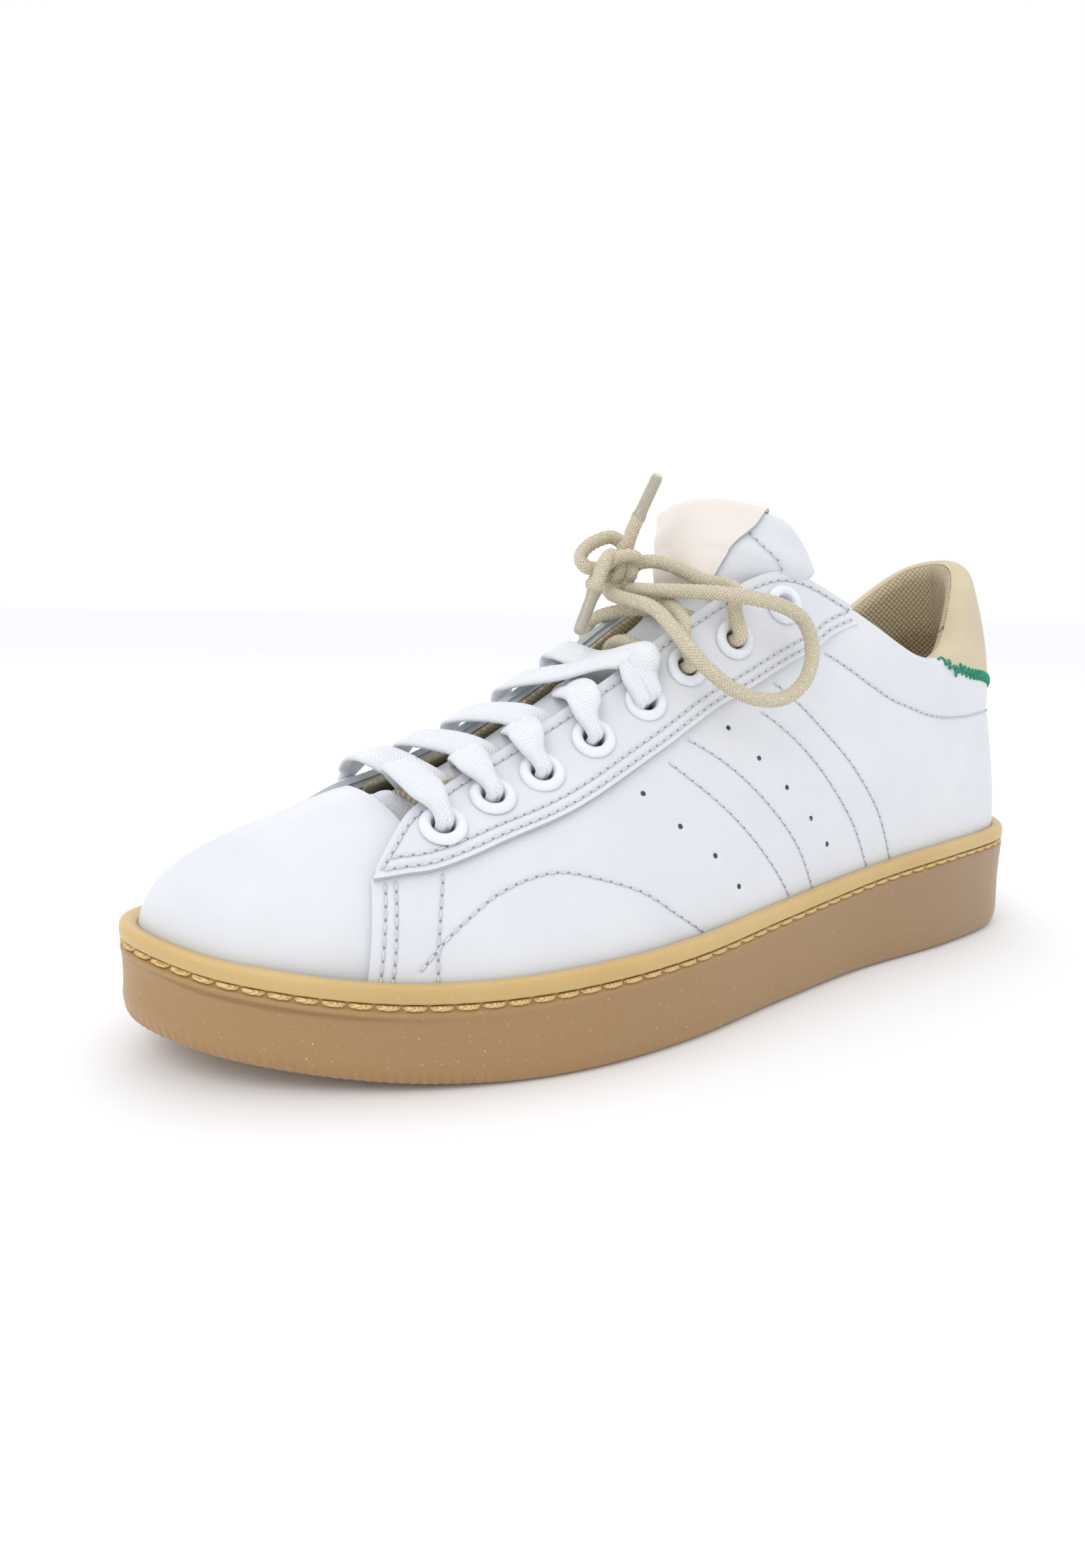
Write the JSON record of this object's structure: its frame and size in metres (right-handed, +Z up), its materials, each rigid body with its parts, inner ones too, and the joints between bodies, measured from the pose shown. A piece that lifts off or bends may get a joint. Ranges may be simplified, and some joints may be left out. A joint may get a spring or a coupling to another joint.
{
  "type": "court shoe",
  "caption": "Low-cut lace-up court shoe for the left foot, stitched gum cup sole, padded collar, leather panels and a tied bow.",
  "frame": {"origin": "centre of the sole's footprint at the height of the ground", "axes": "+X towards the toe, +Y towards the outer side of the left foot, +Z up"},
  "size_m": [0.276, 0.1014, 0.1346],
  "materials": {
    "gum_rubber": "satin gum rubber, slightly translucent",
    "sole_thread": "waxed thread",
    "midsole_foam": "closed-cell foam",
    "insole_board": "pressed fibre board",
    "white_leather": "smooth coated leather, fine grain",
    "beige_lining": "knitted mesh lining",
    "collar_foam": "open-cell foam",
    "beige_leather": "smooth coated leather",
    "label_leather": "thin smooth leather",
    "eyelet_plastic": "moulded, satin",
    "white_lace": "flat woven cotton",
    "beige_cord": "round braided cotton",
    "clear_aglet": "clear film over the cord"
  },
  "bodies": {
    "shoe": {"outsole_cup": "gum_rubber", "sidewall_stitch": "sole_thread", "midsole_filler": "midsole_foam", "insole_board": "insole_board", "toe_puff": "insole_board", "heel_counter": "insole_board", "vamp": "white_leather", "quarter_lateral": "white_leather", "quarter_medial": "white_leather", "eyestay_lateral": "white_leather", "eyestay_medial": "white_leather", "vamp_lining": "beige_lining", "quarter_lining_lateral": "beige_lining", "quarter_lining_medial": "beige_lining", "heel_lining": "beige_lining", "sockliner": "beige_lining", "collar_foam": "collar_foam", "heel_tab": "beige_leather", "eyelet_lateral_1": "eyelet_plastic", "eyelet_lateral_2": "eyelet_plastic", "eyelet_lateral_3": "eyelet_plastic", "eyelet_lateral_4": "eyelet_plastic", "eyelet_lateral_5": "eyelet_plastic", "eyelet_lateral_6": "eyelet_plastic", "eyelet_lateral_7": "eyelet_plastic", "eyelet_lateral_8": "eyelet_plastic", "eyelet_medial_1": "eyelet_plastic", "eyelet_medial_2": "eyelet_plastic", "eyelet_medial_3": "eyelet_plastic", "eyelet_medial_4": "eyelet_plastic", "eyelet_medial_5": "eyelet_plastic", "eyelet_medial_6": "eyelet_plastic", "eyelet_medial_7": "eyelet_plastic", "eyelet_medial_8": "eyelet_plastic", "lace_white": "white_lace", "lace_cord": "beige_cord", "bow_knot": "beige_cord", "bow_large_loop": "beige_cord", "bow_small_loop": "beige_cord", "bow_upper_tail": "beige_cord", "bow_lower_tail": "beige_cord", "aglet_upper": "clear_aglet", "aglet_lower": "clear_aglet"},
    "tongue": {"tongue_front": "white_leather", "tongue_foam": "collar_foam", "tongue_lining": "beige_lining", "tongue_label": "label_leather"}
  },
  "joints": [
    {"name": "tongue_fold", "type": "hinge", "parent": "shoe", "child": "tongue", "pos_m": [0.091, 0, 0.047], "axis": [0, 1, 0], "range_deg": [-2.5, 0], "stiffness_Nm_per_rad": 0.6, "springref_deg": 1.72}
  ]
}
